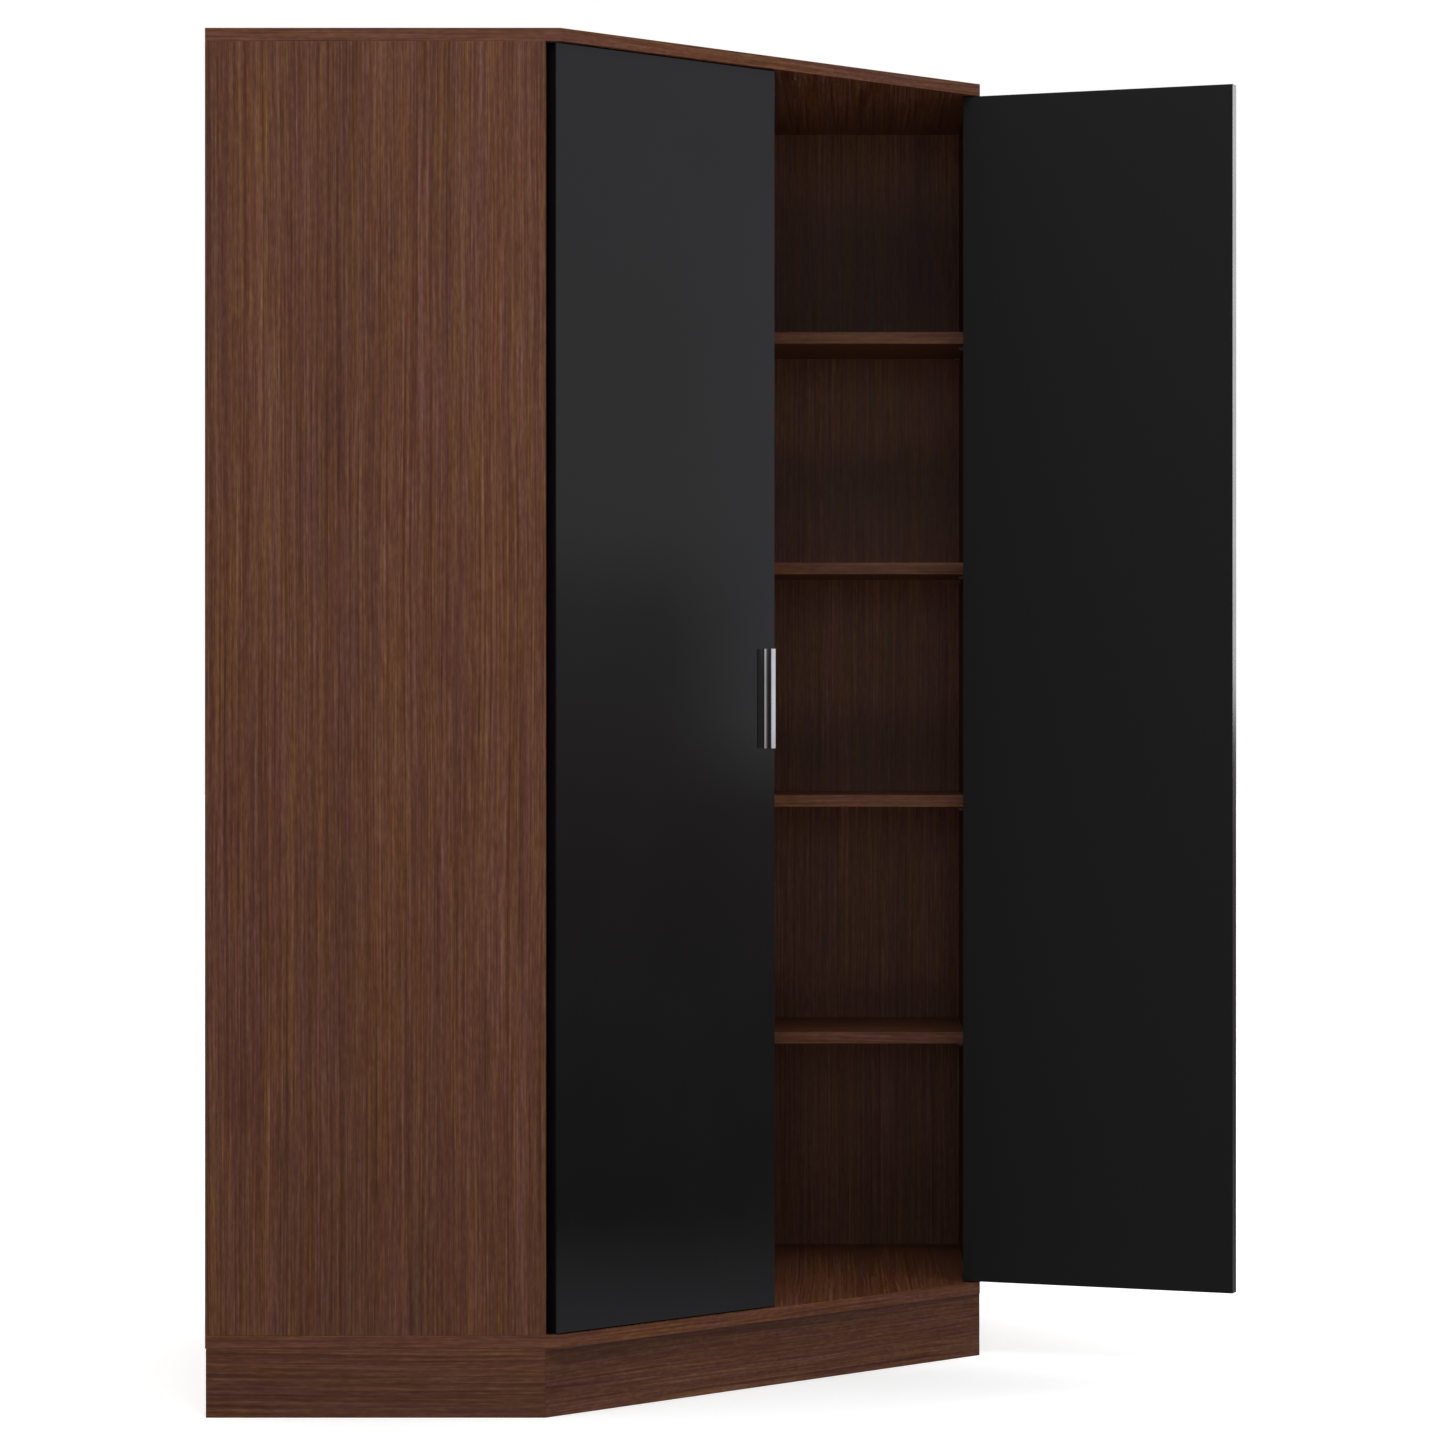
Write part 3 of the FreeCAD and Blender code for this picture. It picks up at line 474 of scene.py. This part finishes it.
def make_camera():
    """Level camera, square to the left side panel, at the photograph's distance and angle."""
    data = bpy.data.cameras.new("camera")
    data.sensor_width = SENSOR_MM
    data.lens = SENSOR_MM * FOCAL_RATIO
    data.shift_x, data.shift_y = SHIFT
    data.clip_end = VIEW_DISTANCE
    camera = bpy.data.objects.new("camera", data)
    camera.location = CAMERA_PLACE
    camera.rotation_euler = (math.radians(90), 0, 0)
    bpy.context.scene.collection.objects.link(camera)
    bpy.context.scene.camera = camera


def make_world():
    """White to the camera. As light it is brightest overhead and dim below the horizon."""
    world = bpy.data.worlds.new("studio")
    bpy.context.scene.world = world
    world.use_nodes = True
    world.node_tree.nodes.clear()
    tree = Tree(world.node_tree)
    direction = tree.add("ShaderNodeTexCoord").outputs["Generated"]
    rise = tree.add("ShaderNodeSeparateXYZ", {0: direction}).outputs[2]
    brightest = max(light for _, light, _ in SKY)
    stops = [((sine + 1) / 2, tuple(light / brightest * part for part in tint)) for sine, light, tint in SKY]
    sky = tree.ramp(tree.remap(rise, -1.0, 1.0), stops)
    lit = tree.add("ShaderNodeBackground", {"Color": sky, "Strength": brightest}).outputs[0]
    seen = tree.add("ShaderNodeBackground", {"Color": (*WHITE, 1.0), "Strength": 1.0}).outputs[0]
    camera_ray = tree.add("ShaderNodeLightPath").outputs["Is Camera Ray"]
    mixed = tree.add("ShaderNodeMixShader", {0: camera_ray, 1: lit, 2: seen}).outputs[0]
    tree.add("ShaderNodeOutputWorld", {"Surface": mixed})


def add_sheet(name, corners, made):
    """One four-sided face with a material."""
    mesh = bpy.data.meshes.new(name)
    mesh.from_pydata(corners, [], [(0, 1, 2, 3)])
    mesh.materials.append(made)
    sheet = bpy.data.objects.new(name, mesh)
    bpy.context.scene.collection.objects.link(sheet)
    sheet.visible_diffuse = False
    return sheet


def make_floor():
    made = Finish("pale_floor")
    mottle = made.noise(made.place, scale=3.0, detail=3.0)
    pale = made.done({"Base Color": made.tone(mottle, *FLOOR_PALES)}, Roughness=0.8,
                     Emission_Color=(*WHITE, 1.0), Emission_Strength=FLOOR_GLOW)
    corners = [(-FLOOR_HALF, -FLOOR_HALF, 0), (FLOOR_HALF, -FLOOR_HALF, 0),
               (FLOOR_HALF, FLOOR_HALF, 0), (-FLOOR_HALF, FLOOR_HALF, 0)]
    floor = add_sheet("floor", corners, pale)
    floor.visible_glossy = False


def add_light(name, kind, place, target, watts):
    """A lamp of this kind, aimed at the target."""
    data = bpy.data.lights.new(name, kind)
    data.energy = watts
    light = bpy.data.objects.new(name, data)
    light.location = place
    light.rotation_euler = (Vector(target) - Vector(place)).to_track_quat("-Z", "Y").to_euler()
    bpy.context.scene.collection.objects.link(light)
    return light


def make_lamps():
    """Soft lamps in front and to both sides, one that rims the open door's edge, and two behind."""
    for name, (place, target, size, watts) in LAMPS.items():
        light = add_light(name, "AREA", place, target, watts)
        light.data.shape = "RECTANGLE"
        light.data.size, light.data.size_y = size
        light.visible_glossy = name not in UNSEEN_IN_GLOSS


def make_low_light():
    """A soft spot close to the floor, aimed up through the doorway at the shelves and the back."""
    light = add_light("low_light", "SPOT", LOW_LIGHT_PLACE, LOW_LIGHT_TARGET, LOW_LIGHT_WATTS)
    light.data.spot_size = math.radians(LOW_LIGHT_SPREAD)
    light.data.spot_blend = 1.0
    light.data.shadow_soft_size = LOW_LIGHT_RADIUS
    light.visible_camera = False
    light.visible_glossy = False


def reflector_glow():
    """A glow that fades out towards the panel's near and lower edges."""
    made = bpy.data.materials.new("reflector_glow")
    made.use_nodes = True
    made.node_tree.nodes.clear()
    tree = Tree(made.node_tree)
    place = tree.add("ShaderNodeTexCoord").outputs["Object"]
    _, y, z = tree.add("ShaderNodeSeparateXYZ", {0: place}).outputs
    near = tree.remap(y, REFLECTOR_NEAR, REFLECTOR_NEAR + NEAR_FADE)
    low = tree.remap(z, REFLECTOR_LOW, REFLECTOR_LOW + LOW_FADE)
    glow = tree.add("ShaderNodeEmission", {"Color": (*COOL, 1.0), "Strength": REFLECTOR_GLOW}).outputs[0]
    clear = tree.add("ShaderNodeBsdfTransparent").outputs[0]
    lit = tree.math("MULTIPLY", near, low)
    mixed = tree.add("ShaderNodeMixShader", {0: lit, 1: clear, 2: glow}).outputs[0]
    tree.add("ShaderNodeOutputMaterial", {"Surface": mixed})
    return made


def make_reflector():
    """Soft panel off to the right, facing the wardrobe. Only gloss sees it."""
    corners = [(REFLECTOR_X, REFLECTOR_NEAR, REFLECTOR_LOW), (REFLECTOR_X, REFLECTOR_NEAR, REFLECTOR_HIGH),
               (REFLECTOR_X, REFLECTOR_FAR, REFLECTOR_HIGH), (REFLECTOR_X, REFLECTOR_FAR, REFLECTOR_LOW)]
    panel = add_sheet("reflector", corners, reflector_glow())
    panel.visible_camera = False
    panel.visible_shadow = False


make_camera()
dress_boards()
dress_doors()
dress_bare_wood()
dress_fittings()
make_world()
make_floor()
make_lamps()
make_low_light()
make_reflector()
bpy.context.scene.view_settings.view_transform = "Standard"
